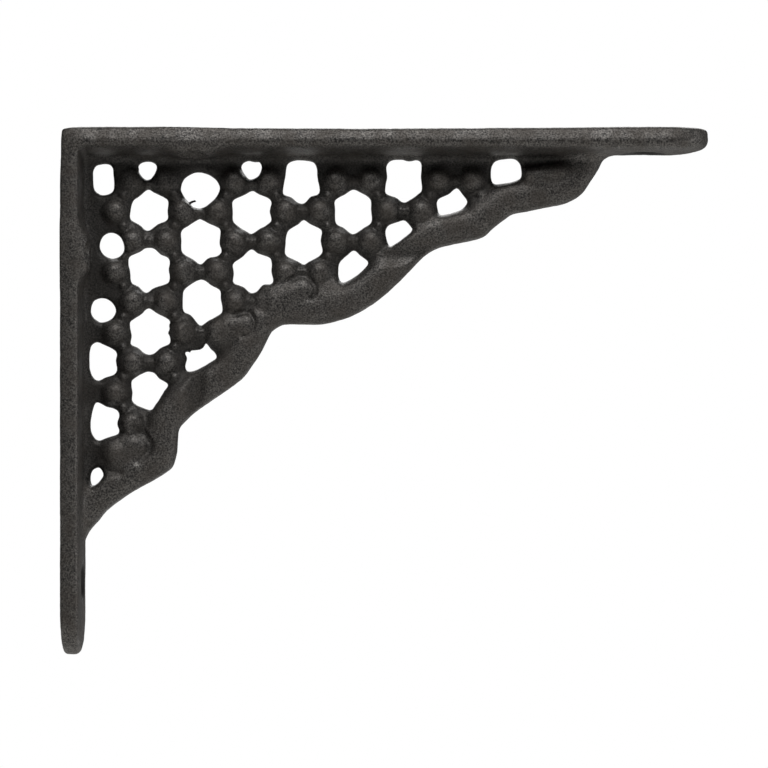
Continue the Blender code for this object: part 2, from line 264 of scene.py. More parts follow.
# Openings of the web, column by column from the wall arm and from the shelf down. Sand castings
# are never even, so each opening is a smooth closed curve through points of its own.
OPENINGS: tuple[Outline, ...] = (
    # beside the wall arm
    ((8.9, 8.95), (11.4, 8.7), (12.6, 9.7), (12.9, 12), (12.95, 15.2), (12.3, 16.2), (11, 16.8),
     (9.3, 16.75), (7.7, 15.3), (7.4, 12), (7.5, 10.6), (8, 9.5)),
    ((12.3, 26.35), (14.6, 27.5), (15.7, 30.1), (15, 32.2), (12.6, 33.2), (10.2, 32.2), (9.15, 29.9),
     (10, 27.4)),
    ((9.5, 43.15), (12, 43.9), (13.45, 46.3), (12.4, 48.6), (9.6, 49.6), (7.3, 48.1), (6.7, 46.6),
     (7.4, 44.2)),
    ((8.4, 54.5), (6.6, 55.8), (6.2, 59.3), (6.45, 62), (7.9, 64.15), (9.1, 64.5), (10.85, 63.6),
     (13.05, 62.9), (13.75, 61.6), (13.4, 59.3), (13.7, 57.5), (12.95, 56.45), (10, 55)),
    ((8.45, 69.9), (7.35, 71.8), (6.55, 76.6), (7.55, 78.9), (9, 79.95), (10.95, 79.25), (13.95, 78.2),
     (14.3, 77.2), (13.8, 75.6), (14.35, 73.3), (13.6, 71.85), (11, 71)),
    ((8.65, 86.7), (7.15, 87.65), (6.6, 89.75), (7.15, 91.6), (8.3, 91.4), (9.65, 90.1), (10.35, 88.6),
     (9.55, 87)),
    # first column
    ((20.2, 8.15), (22.5, 8.05), (23.9, 9.2), (23.6, 10.9), (22.5, 12.6), (21.6, 13), (20.7, 12.8),
     (19.3, 11.3), (19.05, 9.4)),
    ((21.9, 15.3), (23.2, 16.1), (26.5, 17.75), (26.95, 18.8), (26.7, 21), (26.75, 23.1), (24.2, 24.4),
     (22.9, 25.4), (21.9, 26), (20.8, 25.8), (19.5, 24.6), (17.2, 23.2), (16.85, 21.9), (17.8, 18.2),
     (19.3, 17.1), (20.8, 15.8)),
    ((22, 30.25), (23.2, 30.5), (25, 32), (26.8, 32.8), (27.35, 34.1), (27, 35.8), (27.3, 38.1),
     (26.7, 39.5), (23.1, 40.8), (21.5, 41.95), (20.5, 41.7), (19.2, 40.4), (17.3, 39.3), (16.9, 36.4),
     (16.45, 34.5), (16.8, 32.6), (19.5, 31.3), (20.8, 30.45)),
    ((22, 45.8), (24.2, 47.2), (26.9, 48.6), (27.4, 49.6), (27.1, 50.2), (27.25, 51.2), (26.9, 52.2),
     (27.3, 52.9), (27.3, 54.9), (24.9, 56.1), (23, 57.65), (21, 57.65), (19, 56.1), (17.1, 55.1),
     (17.3, 53), (16.85, 49.9), (17.2, 49.1), (19.9, 47.3), (20.9, 46.2)),
    ((21.1, 62.15), (23.2, 62.4), (24.5, 63.8), (26.9, 65.4), (25.8, 67.35), (23.7, 70.6), (22.5, 72.05),
     (21.3, 71.85), (18.8, 70.85), (17.45, 69.7), (17.5, 67.5), (17.2, 65.4), (17.5, 64.2)),
    # second column
    ((34.3, 10.85), (38.3, 12.1), (40.15, 14.9), (38.8, 17.8), (35.8, 20.1), (33.3, 20), (31.5, 18.2),
     (30.2, 16.2), (29.95, 15), (31, 12.5)),
    ((35.1, 22.85), (37.3, 24), (39.9, 25.2), (40.35, 26.1), (40.1, 29.2), (40.6, 31.3), (39.6, 32.5),
     (37.1, 33.1), (35.2, 34.7), (33.1, 33.3), (30.3, 31.5), (30.15, 28.5), (30.1, 26), (31.6, 24.8),
     (34.3, 23.1)),
    ((35, 38.4), (36.2, 38.6), (38, 39.9), (40.2, 41.2), (40.4, 43.5), (40.8, 46.9), (38.8, 48.4),
     (37.2, 49.2), (35.3, 50.4), (34.25, 49.75), (32.5, 47.65), (30.7, 46.7), (30.5, 43), (30.8, 41.2),
     (33.3, 39.2)),
    ((36.5, 54.75), (37.75, 56.2), (38.9, 57.35), (39.3, 58.6), (37.9, 59.65), (35.9, 60.9), (33.5, 62.05),
     (31.6, 62.1), (31.1, 60.75), (31.6, 58.65), (31.05, 57.35), (31.9, 56.7), (34, 56.55), (35.6, 56)),
    # third column
    ((47.5, 7.65), (46, 8.4), (45.5, 10), (47.4, 12.7), (48.4, 12.8), (50, 12), (50.85, 10),
     (50.4, 8.1), (49, 8.1)),
    ((48.5, 15.6), (50, 16.4), (52.9, 17.7), (53.4, 18.9), (52.95, 21), (53.4, 23.2), (52.4, 24.4),
     (50.1, 25.7), (48.3, 26.8), (46.6, 26), (43.5, 23.7), (43.3, 21), (43.3, 18.2), (46, 16.8)),
    ((48.3, 30.65), (50, 31.7), (53, 32.9), (53.5, 34.6), (53.4, 36.5), (54, 39), (53.1, 39.9),
     (51.3, 40), (49.7, 41.7), (48, 42), (46, 40.4), (43.5, 39.3), (43.6, 36.8), (43.35, 34.5),
     (45.7, 32.7), (47.2, 31.2)),
    # fourth column
    ((60.5, 7.4), (64, 8), (65.1, 9.8), (65.2, 12), (65.85, 15.4), (65.3, 16.7), (63.4, 17.3),
     (61.7, 19), (60, 18.7), (58.2, 17.3), (56.3, 16.6), (56.3, 14.8), (56.9, 11.5), (57.3, 9),
     (58.6, 7.8)),
    ((61.6, 23.1), (63.4, 24.2), (66, 25.5), (66.35, 26.4), (66, 28.5), (66.5, 31.4), (65.2, 32.8),
     (62.8, 34.1), (61.7, 34.75), (60, 33.9), (56.9, 32.2), (56.8, 30.2), (57.4, 26.2), (60, 24.3)),
    # fifth column
    ((74.3, 15.3), (76.5, 16.2), (78.8, 17.8), (79, 20.5), (79.1, 23.8), (77, 25.4), (75.2, 26.6),
     (74, 26.9), (71.8, 25.3), (69.8, 24), (69.6, 20.5), (69.6, 18.1), (72.2, 16.5)),
    ((74.5, 30.95), (76.2, 32.3), (78.3, 34.1), (77, 36.1), (74.9, 37.9), (71.8, 39.4), (70.6, 38.6),
     (70.4, 36), (70.8, 34), (72.7, 32.2)),
    # sixth column
    ((84, 7.5), (87, 7.15), (88.6, 7.8), (90.8, 7.35), (91.9, 8.4), (91.8, 12), (92.05, 15.6),
     (91, 16.7), (89.2, 18), (87.3, 18.8), (85.2, 17.5), (82.6, 16.4), (82.5, 14.6), (82.95, 12.3),
     (82.8, 9.3)),
    ((87.5, 23.25), (88.9, 24.5), (89.75, 25.7), (87.8, 27.7), (84.2, 30.1), (83.3, 29.7), (82.5, 26.3),
     (83.2, 24.7), (85.6, 23.7)),
    # seventh and eighth columns
    ((100.9, 14.9), (102.4, 16.5), (103.7, 18.6), (102, 20.7), (97.1, 22.1), (96.1, 21.3), (95.9, 18.1),
     (98.8, 16.5)),
    ((113.7, 6.85), (110.8, 7.75), (109.6, 10.4), (110.1, 13.8), (112.3, 14.05), (117.3, 12.7),
     (117.6, 10.3), (116.7, 7.6), (115.35, 6.8)),
)

# Slivers of flash that the mould left at the parting line, as lines of points with a radius.
FLASH: tuple[tuple[Outline, float], ...] = (
    (((31.9, 19.3), (32.7, 18.85), (33.3, 18.5), (33.9, 18.45)), 0.36),
    (((34.9, 56.4), (35.7, 55.9), (35.8, 55.4)), 0.28),
    (((31.5, 56.8), (32.6, 57.1)), 0.3),
    (((19.0, 10.3), (19.35, 10.2)), 0.3),
)


@dataclass(frozen=True)
class Honeycomb:
    """Balls and beads of the web, in millimetres. Column 0 stands beside the wall arm.

    Every other column is half a row lower. Balls and beads keep clear of the two arms, and inset from
    the edge of the border. Those in the corner between the arms are shallow.
    """

    column_pitch: float = 13.08
    row_pitch: float = 15.54
    first_column: float = 9.1
    first_row: float = 13.27
    half_thickness: float = 1.2
    ball_radius: float = 3.45
    ball_height: float = 3.8
    bead_radius: float = 1.55
    bead_height: float = 2.3
    shallow_within: Point = (30.0, 14.0)
    shallow_height: float = 2.5
    balls_clear: Point = (8.2, 9.2)
    beads_clear: Point = (10.5, 12.0)
    balls_inset: float = 6.4
    beads_inset: float = 7.8
    columns: int = 10
    rows: int = 7
    same_place: float = 0.5
    lowered_beads: tuple[tuple[Point, Point], ...] = (
        ((22.2, 13.3), (22.0, 14.2)),
        ((48.3, 13.3), (48.3, 14.2)),
        ((35.3, 21.0), (35.0, 21.55)),
    )

    def cell(self, column: int, row: float) -> Point:
        """The middle of a cell, out from the wall and below the shelf."""
        lowered = row + 0.5 * (column % 2)
        return self.first_column + column * self.column_pitch, self.first_row + lowered * self.row_pitch

    def around(self, steps: Sequence[Point], clear: Point) -> list[Point]:
        """Places at these steps, in pitches, round every cell, each place once.

        Args:
            steps: Steps out and down from the middle of a cell, in column and row pitches.
            clear: Least distance out from the wall and below the shelf.

        Returns:
            The places that stand clear of the arms.
        """
        found: dict[Point, Point] = {}
        for column in range(-1, self.columns):
            for row in range(-1, self.rows):
                out, below = self.cell(column, row)
                for along, down in steps:
                    place = out + along * self.column_pitch, below + down * self.row_pitch
                    if place[0] > clear[0] and place[1] > clear[1]:
                        found[round(place[0], 1), round(place[1], 1)] = place
        return list(found.values())

    def balls(self) -> list[Point]:
        """The corners of the honeycomb, where the balls stand."""
        level = [(side * 2 / 3, 0.0) for side in (-1, 1)]
        return self.around(level + [(s / 3, t / 2) for s in (-1, 1) for t in (-1, 1)], self.balls_clear)

    def beads(self) -> list[Point]:
        """The middles of the links, where the beads stand, some of them a little lower.

        Returns:
            The places, out from the wall and below the shelf.
        """
        upright = [(0.0, side / 2) for side in (-1, 1)]
        slanted = [(s / 2, t / 4) for s in (-1, 1) for t in (-1, 1)]
        places = self.around(upright + slanted, self.beads_clear)
        for regular, lowered in self.lowered_beads:
            places = [lowered if math.dist(place, regular) < self.same_place else place for place in places]
        return places


@dataclass(frozen=True)
class Lobe:
    """A rounded swelling of the web: a line along its middle, its radius and its height each way."""

    line: Outline
    radius: float
    height: float


@dataclass(frozen=True)
class Crease:
    """A soft line in the web's faces: its points, its depth, negative for a ridge, and its half width."""

    line: Outline
    depth: float
    half_width: float


@dataclass(frozen=True)
class Border:
    """The scalloped border, from the wall arm out to the shelf arm, in millimetres."""

    points: Outline = (
        # out of the wall arm to the first cusp
        (-4, 112), (3, 105.8), (6.9, 102.3), (8.9, 100.2), (10.8, 97.85), (13.85, 95.4), (18.25, 92.5),
        (22.95, 89.9), (26.2, 87.85), (27.4, 86.9), (28.2, 85.5), (28.95, 82.6), (29.2, 78.2),
        # up the long scallop to the second cusp
        (29.55, 76.65), (30.5, 75.4), (33.65, 72.4), (38.3, 69.2), (42.9, 66), (46.2, 63.3), (48.1, 60.75),
        (50.25, 57.6), (52, 53.9), (52.85, 52.25), (54.1, 51.1), (56.4, 49.9),
        # round the wide scallop to the third cusp
        (61.95, 49.85), (66.35, 49.85), (71.85, 48.45), (75.95, 46.75), (81.05, 43.4), (86.45, 38.5),
        (90, 34.8), (92.2, 32.6), (95, 30.75),
        # two short scallops up to the shelf arm
        (97.7, 29.8), (103.25, 28.65), (107.6, 27.45), (110.1, 25.25), (112.6, 23.3), (115.05, 21.65),
        (118.9, 20.85), (123.6, 19.85), (128.25, 18.95), (131.4, 17.5), (133.35, 15.8), (134.6, 13.95),
        (137.2, 9.95), (138.2, 7.35), (141, 2), (143, -2),
    )
    width: float = 8.3
    half_thickness: float = 3.9
    fullness: float = 2.4
    # How far behind both arms the outline of the web's field is closed.
    beyond: float = -20.0
    shoulders: tuple[Lobe, ...] = (
        Lobe(((53.5, 42.8), (61.0, 41.4), (68.0, 42.0)), 4.4, 3.0),
        Lobe(((41.5, 51.2), (46.8, 51.0)), 4.8, 3.0),
        Lobe(((14.0, 84.6), (19.0, 83.2)), 4.6, 2.9),
    )
    lobes: tuple[Lobe, ...] = (
        Lobe(((54.5, 43.6), (58.0, 42.0), (61.2, 41.1)), 3.3, 3.6),
        Lobe(((42.5, 50.5), (46.2, 50.1)), 3.1, 3.6),
        Lobe(((14.3, 82.6), (16.5, 82.4)), 4.3, 3.2),
        Lobe(((18.0, 80.6), (19.3, 80.9)), 3.2, 3.2),
        Lobe(((119.5, 12.0), (127.5, 10.9)), 2.4, 4.2),
    )
    creases: tuple[Crease, ...] = (
        Crease(((58.3, 38.7), (59.7, 38.1), (61.2, 37.6), (62.9, 38.0), (64.1, 39.3), (64.8, 40.8),
                (64.6, 42.2), (63.5, 43.4)), 1.0, 0.55),
        Crease(((44.3, 47.6), (47.3, 46.9), (48.7, 48.2), (49.1, 49.9), (48.8, 51.4), (47.6, 52.7),
                (46.2, 53.1)), 0.85, 0.55),
        Crease(((18.2, 76.4), (20.3, 78.0), (21.6, 79.2), (22.4, 80.4), (22.6, 81.6), (21.6, 83.1),
                (19.4, 85.0)), 0.9, 0.95),
        Crease(((9.4, 85.0), (11.1, 86.8), (12.6, 87.8), (14.6, 88.1)), 0.7, 0.9),
        Crease(((51.8, 42.2), (52.0, 44.5), (51.6, 46.5)), 0.5, 1.3),
        Crease(((21.3, 76.9), (22.7, 78.5)), -0.35, 0.45),
    )

    def edge(self) -> list[Point]:
        """The outer edge as a smooth line."""
        return smooth_line(self.points, closed=False, steps=3)

    def inset(self, u: Array, v: Array) -> Array:
        """How far inside the outer edge each place of the web's plane lies.

        Args:
            u: Distance out from the wall.
            v: Distance below the shelf.

        Returns:
            The distance, negative outside the edge.
        """
        u = u - READING_SHIFT[0]
        v = v - READING_SHIFT[1]
        edge = self.edge()
        nearest = line_distance(edge, u, v)
        far = self.beyond
        field_side = edge + [(edge[-1][0], far), (far, far), (far, edge[0][1])]
        return np.where(is_within(field_side, u, v), nearest, -nearest) + READING_GROWTH

    def rim(self, inset: Array, depth: Array) -> Array:
        """Distance to the full, rounded moulding that runs along the edge.

        Args:
            inset: How far inside the outer edge each place lies.
            depth: Distance from the web's middle plane.

        Returns:
            The distance, negative inside the moulding.
        """
        half = self.width / 2
        power = self.fullness
        reach = (np.abs(inset - half) / half) ** power + (depth / self.half_thickness) ** power
        return (reach ** (1 / power) - 1) * min(half, self.half_thickness)


@dataclass(frozen=True)
class Web:
    """The openwork web between the arms."""

    honeycomb: Honeycomb = field(default_factory=Honeycomb)
    border: Border = field(default_factory=Border)
    edge_softness: float = 1.7
    ball_softness: float = 1.1
    bead_softness: float = 0.6
    lobe_softness: float = 1.3
    rim_softness: float = 2.4
    flash_softness: float = 0.2
    widest_fillet: float = 1.5
    half_space: float = 6.4
    crease_clear: float = 1.6

    def pierced(self, block: Block) -> Array:
        """Distance in the web's plane to the nearest opening.

        Args:
            block: The sampled places.

        Returns:
            The distance for each place out and below, negative inside an opening.
        """
        nearest = np.full((len(block.axis(0)), len(block.axis(2))), FAR)
        for points in OPENINGS:
            outline = smooth_line(points, closed=True)
            middle = np.mean(np.array(points), axis=0)
            cut = block.window((middle[0], None, middle[1]), OPENING_REACH)
            u = block.axis(0)[cut[0]][:, None] - READING_SHIFT[0]
            v = block.axis(2)[cut[2]][None, :] - READING_SHIFT[1]
            flat = line_distance(outline + outline[:1], u, v)
            flat = np.where(is_within(outline, u, v), -flat, flat) + READING_GROWTH
            nearest[cut[0], cut[2]] = np.minimum(nearest[cut[0], cut[2]], flat)
        return nearest

    def add_lobe(self, web: Array, block: Block, lobe: Lobe, softness: float) -> None:
        """Adds a ball, or a round bar along a line of the middle plane, to the web.

        Args:
            web: Distance to the web, changed in place.
            block: The sampled places of the web.
            lobe: The swelling.
            softness: Width of the fillet round it.
        """
        middle = np.mean(np.array(lobe.line), axis=0)
        reach = lobe.radius + self.widest_fillet + max(math.dist(middle, place) for place in lobe.line)
        cut = block.window((middle[0], None, middle[1]), reach)
        u = block.axis(0)[cut[0]][:, None, None]
        v = block.axis(2)[cut[2]][None, None, :]
        flat = line_distance(list(lobe.line) + [lobe.line[-1]], u, v)
        tall = block.across * lobe.radius / lobe.height
        web[cut] = smooth_union(web[cut], np.hypot(flat, tall) - lobe.radius, softness)

    def creased(self, web: Array, block: Block) -> Array:
        """Draws the curls of the border by the creases round them.

        Args:
            web: Distance to the web.
            block: The sampled places of the web.

        Returns:
            The distance with the creases drawn in both faces.
        """
        u = block.axis(0)[:, None]
        v = block.axis(2)[None, :]
        carved = np.zeros(np.broadcast(u, v).shape)
        for crease in self.border.creases:
            flat = line_distance(smooth_line(crease.line, closed=False), u, v)
            carved += crease.depth * np.exp(-((flat / crease.half_width) ** 2))
        faces = np.clip(np.abs(block.across) - self.crease_clear, 0.0, 1.0)
        return web + carved[:, None, :] * faces

    def build(self, block: Block) -> Array:
        """Distance to the web.

        Args:
            block: The sampled places of the web.

        Returns:
            The distance at each place, negative inside the iron.
        """
        comb = self.honeycomb
        depth = np.abs(block.across)
        inset = self.border.inset(block.axis(0)[:, None], block.axis(2)[None, :])[:, None, :]
        plate = np.maximum(depth - comb.half_thickness, self.border.width / 2 - inset)
        web = smooth_union(plate, self.border.rim(inset, depth), self.rim_softness)
        for lobe in self.border.shoulders:
            self.add_lobe(web, block, lobe, 2 * self.lobe_softness)
        for lobe in self.border.lobes:
            self.add_lobe(web, block, lobe, self.lobe_softness)
        for places, radius, height, softness, clear in (
            (comb.balls(), comb.ball_radius, comb.ball_height, self.ball_softness, comb.balls_inset),
            (comb.beads(), comb.bead_radius, comb.bead_height, self.bead_softness, comb.beads_inset),
        ):
            for place in places:
                here = self.border.inset(np.array([[place[0]]]), np.array([[place[1]]]))[0, 0]
                shallow = place[0] < comb.shallow_within[0] and place[1] < comb.shallow_within[1]
                tall = min(height, comb.shallow_height) if shallow else height
                if here > clear:
                    self.add_lobe(web, block, Lobe((place,), radius, tall), softness)
        web = self.creased(web, block)
        web = smooth_common(web, -self.pierced(block)[:, None, :], self.edge_softness)
        for line, radius in FLASH:
            self.add_lobe(web, block, Lobe(line, radius, radius), self.flash_softness)
        return web


# The arms


class Side(Enum):
    """Which face an arm lies on."""

    SHELF = "shelf"
    WALL = "wall"


@dataclass(frozen=True)
class Arm:
    """One arm: crowned inside, its end half round in plan, with three countersunk holes.

    Sizes are in millimetres, lengths along the arm from the outer corner. The outer face isn't quite
    straight: hollows gives how far in it lies at places along the arm. The sides have draft, less at the
    tip, and the crown falls from the middle to the edges by a power. The pads lie a little inside the sides.
    """

    side: Side
    length: float
    width: float
    edge: float
    crown: float
    tip_screw: float
    pair_screw: float
    hollows: Outline
    draft: float = 1.5
    tip_draft: float = 0.3
    fall: float = 2.5
    edge_softness: float = 2.2
    hole_radius: float = 2.6
    tip_head: float = 5.4
    pair_head: float = 4.1
    head_depth: float = 2.8
    # How far in from the crown the middle of the painted shadow's ball lies.
    shadow_depth: float = 1.8
    pair_offset: float = 6.5
    pad_height: float = 7.7
    pad_half_length: float = 7.6
    pad_half_width: float = 5.0
    pad_offset: float = 6.1
    pad_scale: float = 4.5
    pad_inset: float = 0.3
    pad_softness: float = 0.8
    pad_sunk: float = 0.15

    def directions(self, block: Block) -> tuple[Array, Array]:
        """Distance along this arm and distance in from its mounting face.

        Args:
            block: The sampled places.

        Returns:
            The two distances, in this order.
        """
        if self.side is Side.SHELF:
            return block.out, block.below
        return block.below, block.out

    def from_middle(self, block: Block) -> Array:
        """Distance in plan to the arm's middle line, which ends where the half-round end begins."""
        past = np.maximum(self.directions(block)[0] - (self.length - self.width / 2), 0.0)
        return np.hypot(past, block.across)

    def sides(self, block: Block) -> Array:
        """Distance to the space between the drafted sides, which lean out from the mounting face.

        Args:
            block: The sampled places.

        Returns:
            The distance at each place, negative between the sides.
        """
        along, deep = self.directions(block)
        half = self.width / 2
        past = np.clip((along - self.length) / half + 1, 0.0, 1.0)
        draft = self.draft + (self.tip_draft - self.draft) * past
        return self.from_middle(block) - half + draft * np.clip(1 - deep / self.edge, 0.0, 1.0)

    def bar(self, block: Block) -> Array:
        """Distance to the bar, before its outer face is cut.

        Args:
            block: The sampled places.

        Returns:
            The distance at each place, negative inside the bar.
        """
        deep = self.directions(block)[1]
        fallen = np.minimum(2 * self.from_middle(block) / self.width, 1.0) ** self.fall
        inner = deep - self.edge - (self.crown - self.edge) * (1 - fallen)
        return smooth_common(self.sides(block), inner, self.edge_softness)

    def outer(self, block: Block) -> Array:
        """Distance to the space on the inner side of the arm's outer face.

        Args:
            block: The sampled places.

        Returns:
            The distance, negative inside.
        """
        along, deep = self.directions(block)
        places, depths = zip(*self.hollows)
        return np.interp(along, places, depths) - deep

    def pads(self, block: Block) -> Array:
        """Distance to the two swellings round the pair of screws.

        Args:
            block: The sampled places.

        Returns:
            The distance at each place, negative inside the pads.
        """
        along, deep = self.directions(block)
        reach = np.abs((along - self.pair_screw) / self.pad_half_length) ** 3
        reach = reach + np.abs((np.abs(block.across) - self.pad_offset) / self.pad_half_width) ** 4
        pads = (((reach + (np.maximum(deep, 0.0) / self.pad_height) ** 3) ** 0.3) - 1) * self.pad_scale
        return smooth_common(pads, self.sides(block) + self.pad_inset, self.pad_softness)

    def screws(self) -> tuple[tuple[float, float, float, float], ...]:
        """The screw holes, first the one near the tip, then one of the pair.

        Returns:
            Place along the arm, place across it, head radius and height of the mouth, for each.
        """
        return (
            (self.tip_screw, 0.0, self.tip_head, self.crown),
            (self.pair_screw, self.pair_offset, self.pair_head, self.pad_height - self.pad_sunk),
        )

    def pool(self) -> tuple[Vector, float]:
        """The ball of painted shadow round the countersink near the tip.

        Returns:
            Its middle and its radius in metres.
        """
        deep = self.crown - self.shadow_depth
        out, below = (self.tip_screw, deep) if self.side is Side.SHELF else (deep, self.tip_screw)
        middle = Vector((out * MM, 0.0, CAD_BOX[1].z - below * MM))
        return middle, math.hypot(self.tip_head, self.shadow_depth) * MM

    def holes(self, block: Block) -> Array:
        """Distance to the screws' clearance: the shank and the cone of the head.

        Args:
            block: The sampled places.

        Returns:
            The distance at each place, negative inside a hole.
        """
        along, deep = self.directions(block)
        nearest = np.array(FAR)
        for centre, offset, head, surface in self.screws():
            radial = np.hypot(along - centre, np.abs(block.across) - offset)
            slope = (head - self.hole_radius) / self.head_depth
            cone = np.clip((deep - surface + self.head_depth) * slope, 0.0, head - self.hole_radius)
            hole = (radial - self.hole_radius - cone) * math.cos(math.atan(slope))
            nearest = np.minimum(nearest, hole)
        return nearest


# The skin


@dataclass
class Skin:
    """Draws a closed mesh over the zero level of a sampled distance."""

    values: Array
    block: Block
    # Keeps a free place a little inside the last sample.
    end_margin: float = 1.001
    least_steepness: float = 0.02
    longest_move: float = 0.4

    def sample(self, places: Array) -> Array:
        """The distance at free places, read between the samples.

        Args:
            places: Places in steps of the block, one row each.

        Returns:
            The distance at each place.
        """
        top = np.array(self.values.shape) - self.end_margin
        places = np.clip(places, 0.0, top)
        base = places.astype(np.int64)
        part = places - base
        total = np.zeros(len(places))
        for corner in np.ndindex(2, 2, 2):
            share = np.where(corner, part, 1 - part).prod(axis=1)
            total += share * self.values[tuple((base + corner).T)]
        return total

    def slopes(self, places: Array) -> Array:
        """The direction in which the distance grows, by its change over half a step each way.

        Args:
            places: Places in steps of the block, one row each.

        Returns:
            One row for each place.
        """
        rows = []
        for axis in range(3):
            shift = np.zeros(3)
            shift[axis] = 0.5
            rows.append(self.sample(places + shift) - self.sample(places - shift))
        return np.stack(rows, axis=1)

    def draw(self) -> tuple[Array, Array]:
        """Makes the skin: one point in each crossed cell, and a quad round each crossed edge.

        Returns:
            The points in steps of the block, and the quads as rows of four point numbers.
        """
        solid = self.values < 0
        shape = np.array(self.values.shape) - 1
        corners = list(np.ndindex(2, 2, 2))
        filled = np.zeros(shape, np.int8)
        for i, j, k in corners:
            filled += solid[i : shape[0] + i, j : shape[1] + j, k : shape[2] + k]
        cells = np.stack(np.nonzero((filled > 0) & (filled < 8)), axis=1)
        number = np.full(shape, -1, np.int64)
        number[cells[:, 0], cells[:, 1], cells[:, 2]] = np.arange(len(cells))
        total = np.zeros((len(cells), 3))
        found = np.zeros(len(cells))
        for a in corners:
            for axis in range(3):
                if a[axis]:
                    continue
                b = np.add(a, np.eye(3, dtype=int)[axis])
                at_a = self.values[tuple((cells + a).T)]
                at_b = self.values[tuple((cells + b).T)]
                crosses = (at_a < 0) != (at_b < 0)
                share = np.where(crosses, at_a / np.where(crosses, at_a - at_b, 1.0), 0.0)
                place = np.array(a, float) + share[:, None] * (np.array(b) - np.array(a))
                total += np.where(crosses[:, None], place, 0.0)
                found += crosses
        points = cells + total / found[:, None]
        quads = []
        for axis in range(3):
            first, second = [index for index in range(3) if index != axis]
            inner = [slice(1, -1)] * 3
            inner[axis] = slice(0, -1)
            ahead = list(inner)
            ahead[axis] = slice(1, None)
            here, there = solid[tuple(inner)], solid[tuple(ahead)]
            edges = np.stack(np.nonzero(here != there), axis=1)
            leaves = here[tuple(edges.T)]
            edges[:, first] += 1
            edges[:, second] += 1
            ring = []
            for back_first, back_second in ((1, 1), (0, 1), (0, 0), (1, 0)):
                cell = edges.copy()
                cell[:, first] -= back_first
                cell[:, second] -= back_second
                ring.append(number[tuple(cell.T)])
            ring = np.stack(ring, axis=1)
            flip = leaves if axis == 1 else ~leaves
            ring[flip] = ring[flip][:, ::-1]
            quads.append(ring)
        return points, np.concatenate(quads)

    def settle(self, points: Array, rounds: int) -> Array:
        """Moves the points onto the zero level.

        Args:
            points: Points in steps of the block.
            rounds: How many times they are moved.

        Returns:
            The moved points.
        """
        for _ in range(rounds):
            slope = self.slopes(points)
            steep = np.maximum((slope**2).sum(axis=1), self.least_steepness)
            move = slope * (self.sample(points) / steep)[:, None]
            points = points - np.clip(move, -self.longest_move, self.longest_move)
        return points


@dataclass(frozen=True)
class Casting:
    """The whole bracket in one piece of iron."""

    web: Web
    shelf_arm: Arm
    wall_arm: Arm
    step: float = 0.37
    settling_rounds: int = 2
    arms_softness: float = 2.0
    corner_softness: float = 0.9
    face_softness: float = 1.2
    web_softness: float = 3.0
    pad_softness: float = 1.6
    hole_softness: float = 0.45
    swell: float = 0.07
    swell_length: float = 7.0
    pitting: float = 0.05
    pitting_length: float = 1.3
    most_triangles: int = 194_000

    def distance(self, block: Block) -> Array:
        """Distance to the iron.

        Args:
            block: The sampled places.

        Returns:
            The distance at each place, negative inside the iron.
        """
        iron = smooth_union(self.shelf_arm.bar(block), self.wall_arm.bar(block), self.arms_softness)
        outer = smooth_common(self.shelf_arm.outer(block), self.wall_arm.outer(block), self.corner_softness)
        iron = smooth_common(iron, outer, self.face_softness)
        middle = block.window((None, 0.0, None), self.web.half_space)
        slab = Block(
            (block.low[0], float(block.axis(1)[middle[1]][0]), block.low[2]),
            (block.high[0], float(block.axis(1)[middle[1]][-1]), block.high[2]),
            block.step,
        )
        iron[middle] = smooth_union(iron[middle], self.web.build(slab), self.web_softness)
        for arm in (self.shelf_arm, self.wall_arm):
            iron = smooth_union(iron, arm.pads(block), self.pad_softness)
            iron = smooth_common(iron, -arm.holes(block), self.hole_softness)
        iron = np.maximum(iron, np.abs(block.across) - self.shelf_arm.width / 2)
        return np.maximum(iron, outer)

    def roughen(self, places: Array, normals: Array) -> Array:
        """Gives the skin the uneven surface of a sand casting.

        Args:
            places: Points of the skin in millimetres.
            normals: Their outward directions.

        Returns:
            The moved points.
        """
        moved = places.copy()
        for index, (place, normal) in enumerate(zip(places, normals)):
            here = Vector(place)
            depth = self.swell * noise.noise(here / self.swell_length)
            depth += self.pitting * noise.noise(here / self.pitting_length)
            moved[index] = place - normal * depth
        return moved

    def build(self) -> bpy.types.Object:
        """Makes the casting as one mesh.

        Returns:
            The object, in the frame's place and metres.
        """
        margin = 2 * self.step
        half = self.shelf_arm.width / 2
        block = Block(
            (-margin, -half - margin, -margin),
            (self.shelf_arm.length + margin, half + margin, self.wall_arm.length + margin),
            self.step,
        )
        skin = Skin(self.distance(block), block)
        points, quads = skin.draw()
        points = skin.settle(points, self.settling_rounds)
        normals = skin.slopes(points)
        normals /= np.maximum(np.linalg.norm(normals, axis=1), 1e-9)[:, None]
        places = self.roughen(np.array(block.low) + points * block.step, normals)
        top = CAD_BOX[1].z / MM
        rows = np.stack((places[:, 0], places[:, 1], top - places[:, 2]), axis=1) * MM
        rows = np.clip(rows, np.array(CAD_BOX[0]), np.array(CAD_BOX[1]))
        mesh = bpy.data.meshes.new("bracket_iron")
        mesh.vertices.add(len(rows))
        mesh.vertices.foreach_set("co", rows.astype(np.float32).ravel())
        mesh.loops.add(quads.size)
        mesh.loops.foreach_set("vertex_index", quads[:, ::-1].astype(np.int32).ravel())
        mesh.polygons.add(len(quads))
        mesh.polygons.foreach_set("loop_start", np.arange(0, quads.size, 4, dtype=np.int32))
        mesh.update(calc_edges=True)
        mesh.validate()
        mesh.shade_smooth()
        piece = bpy.data.objects.new("bracket_iron", mesh)
        bpy.context.scene.collection.objects.link(piece)
        thin = piece.modifiers.new("thin_out", "DECIMATE")
        thin.ratio = min(1.0, self.most_triangles / (2 * len(quads)))
        return baked(piece)


